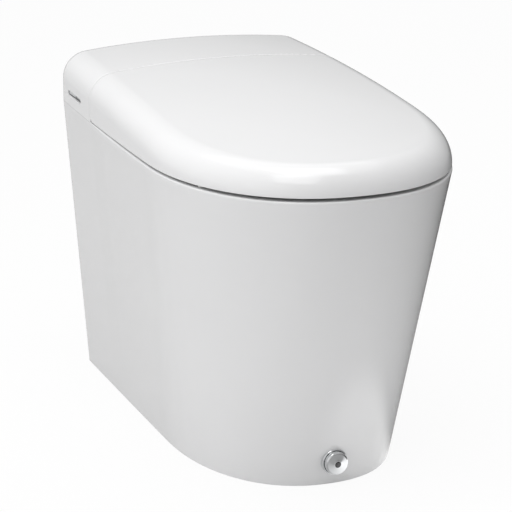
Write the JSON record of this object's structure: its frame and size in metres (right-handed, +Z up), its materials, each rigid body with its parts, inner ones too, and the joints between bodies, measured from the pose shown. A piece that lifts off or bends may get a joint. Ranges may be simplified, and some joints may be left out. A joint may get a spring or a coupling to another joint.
{
  "type": "smart toilet with heated seat",
  "caption": "Skirted one-piece toilet with a heated seat under a flush lid, a bidet wand, warm-air dryer and foot flush button.",
  "frame": {"origin": "on the floor, under the centre of the overall box", "axes": "+Z up, the front of the toilet faces -Y, +X is to the right of someone facing the front"},
  "size_m": [0.3944, 0.6872, 0.4875],
  "materials": {
    "china": "gloss",
    "shell": "gloss",
    "seat_plastic": "gloss",
    "inner_plastic": "matte",
    "dark_plastic": "matte",
    "steel": "brushed",
    "wand_steel": "polished",
    "chrome": "polished",
    "window": "gloss",
    "key_light": "satin",
    "key_dark": "satin",
    "brass": "satin",
    "rubber": "matte",
    "pad": "matte",
    "film": "satin",
    "filter": "matte",
    "board": "satin",
    "lens": "frosted"
  },
  "bodies": {
    "toilet": {"anchor_bolts": "steel", "ceramic_body": "china", "control_board": "board", "deodoriser_filter": "filter", "deodoriser_housing": "dark_plastic", "dryer_duct": "inner_plastic", "dryer_fan_housing": "dark_plastic", "dryer_motor": "steel", "flush_valve": "dark_plastic", "foot_bezel": "chrome", "foot_spring": "steel", "foot_switch": "dark_plastic", "heater_tank": "inner_plastic", "hinge_housing": "inner_plastic", "inlet_valve": "brass", "jet_hose": "rubber", "jet_nozzle": "dark_plastic", "key_frame": "dark_plastic", "lid_damper": "dark_plastic", "night_light": "lens", "nozzle_cowl": "shell", "nozzle_guide": "inner_plastic", "nozzle_motor": "steel", "outlet_seal": "rubber", "power_supply": "dark_plastic", "rear_cover": "shell", "seat_damper": "dark_plastic", "unit_base": "inner_plastic", "wand_hose": "rubber"},
    "deodoriser_wheel": {"deodoriser_fan": "dark_plastic"},
    "flap": {"dryer_flap": "shell"},
    "dryer_fan": {"dryer_impeller": "dark_plastic"},
    "foot_button": {"foot_button": "chrome", "foot_lens": "window"},
    "front_key": {"front_key": "key_dark"},
    "lid": {"lid_bumpers": "pad", "lid_liner": "seat_plastic", "lid_shaft": "steel", "lid_shell": "shell"},
    "pinion": {"nozzle_pinion": "inner_plastic"},
    "wand": {"nozzle_rack": "inner_plastic", "nozzle_tip": "dark_plastic", "nozzle_wand": "wand_steel"},
    "rear_key": {"rear_key": "key_light"},
    "seat": {"seat_bumpers": "pad", "seat_heater": "film", "seat_lower": "seat_plastic", "seat_shaft": "steel", "seat_upper": "seat_plastic"}
  },
  "joints": [
    {"name": "seat_hinge", "type": "hinge", "parent": "toilet", "child": "seat", "pos_m": [0, 0.144, 0.464], "axis": [1, 0, 0], "range_deg": [-92, 0]},
    {"name": "lid_hinge", "type": "hinge", "parent": "seat", "child": "lid", "pos_m": [0, 0.144, 0.464], "axis": [-1, 0, 0], "range_deg": [0, 92]},
    {"name": "nozzle_slide", "type": "slide", "parent": "toilet", "child": "wand", "axis": [0, -0.9397, -0.342], "range_m": [0, 0.095]},
    {"name": "pinion_spin", "type": "hinge", "parent": "toilet", "child": "pinion", "pos_m": [-0.01, 0.15956, 0.39748], "axis": [1, 0, 0], "range_deg": [0, 681.4]},
    {"name": "dryer_fan_spin", "type": "hinge", "parent": "toilet", "child": "dryer_fan", "pos_m": [0.078, 0.164, 0.384], "axis": [0, 0, 1], "continuous": true},
    {"name": "dryer_flap_hinge", "type": "hinge", "parent": "toilet", "child": "flap", "pos_m": [0.056, 0.0286, 0.397], "axis": [-1, 0, 0], "range_deg": [0, 70]},
    {"name": "deodoriser_spin", "type": "hinge", "parent": "toilet", "child": "deodoriser_wheel", "pos_m": [-0.084, 0.172, 0.378], "axis": [0, 0, 1], "continuous": true},
    {"name": "foot_button_press", "type": "slide", "parent": "toilet", "child": "foot_button", "axis": [0, 1, 0], "range_m": [0, 0.004], "stiffness_N_per_m": 800, "springref_m": -0.001},
    {"name": "rear_key_press", "type": "slide", "parent": "toilet", "child": "rear_key", "axis": [1, 0, 0], "range_m": [0, 0.0012], "stiffness_N_per_m": 600, "springref_m": -0.0005},
    {"name": "front_key_press", "type": "slide", "parent": "toilet", "child": "front_key", "axis": [1, 0, 0], "range_m": [0, 0.0012], "stiffness_N_per_m": 600, "springref_m": -0.0005}
  ],
  "couplings": [
    {"joint": "pinion_spin", "follows": "nozzle_slide", "rad_per_m": 125}
  ]
}
